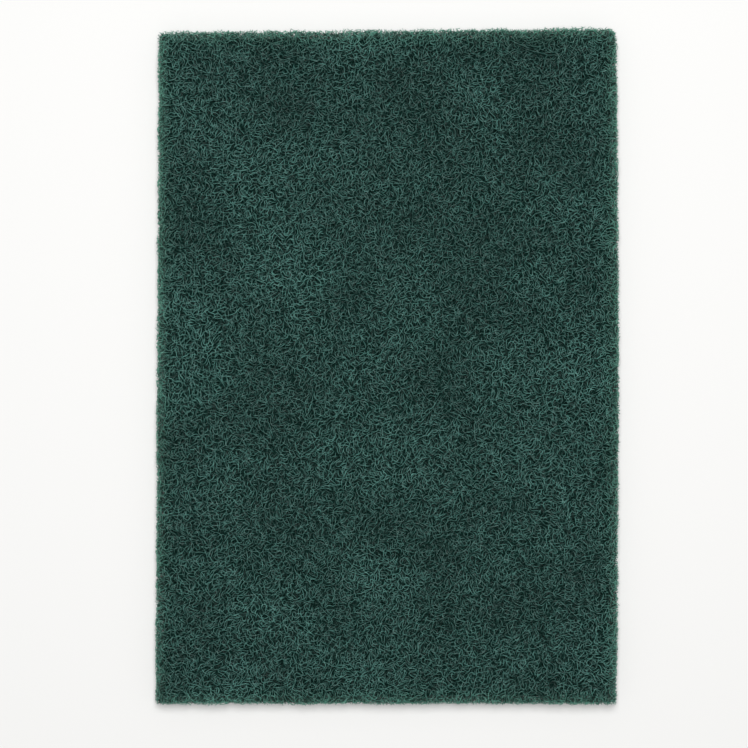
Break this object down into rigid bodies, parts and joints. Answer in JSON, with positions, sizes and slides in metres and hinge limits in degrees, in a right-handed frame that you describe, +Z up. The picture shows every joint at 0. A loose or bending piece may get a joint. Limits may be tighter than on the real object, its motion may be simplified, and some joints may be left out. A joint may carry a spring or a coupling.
{
  "type": "scouring pad",
  "caption": "Flat rectangular pad of springy open non-woven nylon web, cut square with ragged fibrous edges, for scouring by hand.",
  "frame": {"origin": "middle of the underside, the face the pad lies on", "axes": "+X across the pad, +Y along its long side, +Z up through its thickness"},
  "size_m": [0.1552, 0.2264, 0.0078],
  "materials": {
    "nylon_web": "matte"
  },
  "bodies": {
    "root": {"scouring_pad": "nylon_web"}
  },
  "joints": []
}
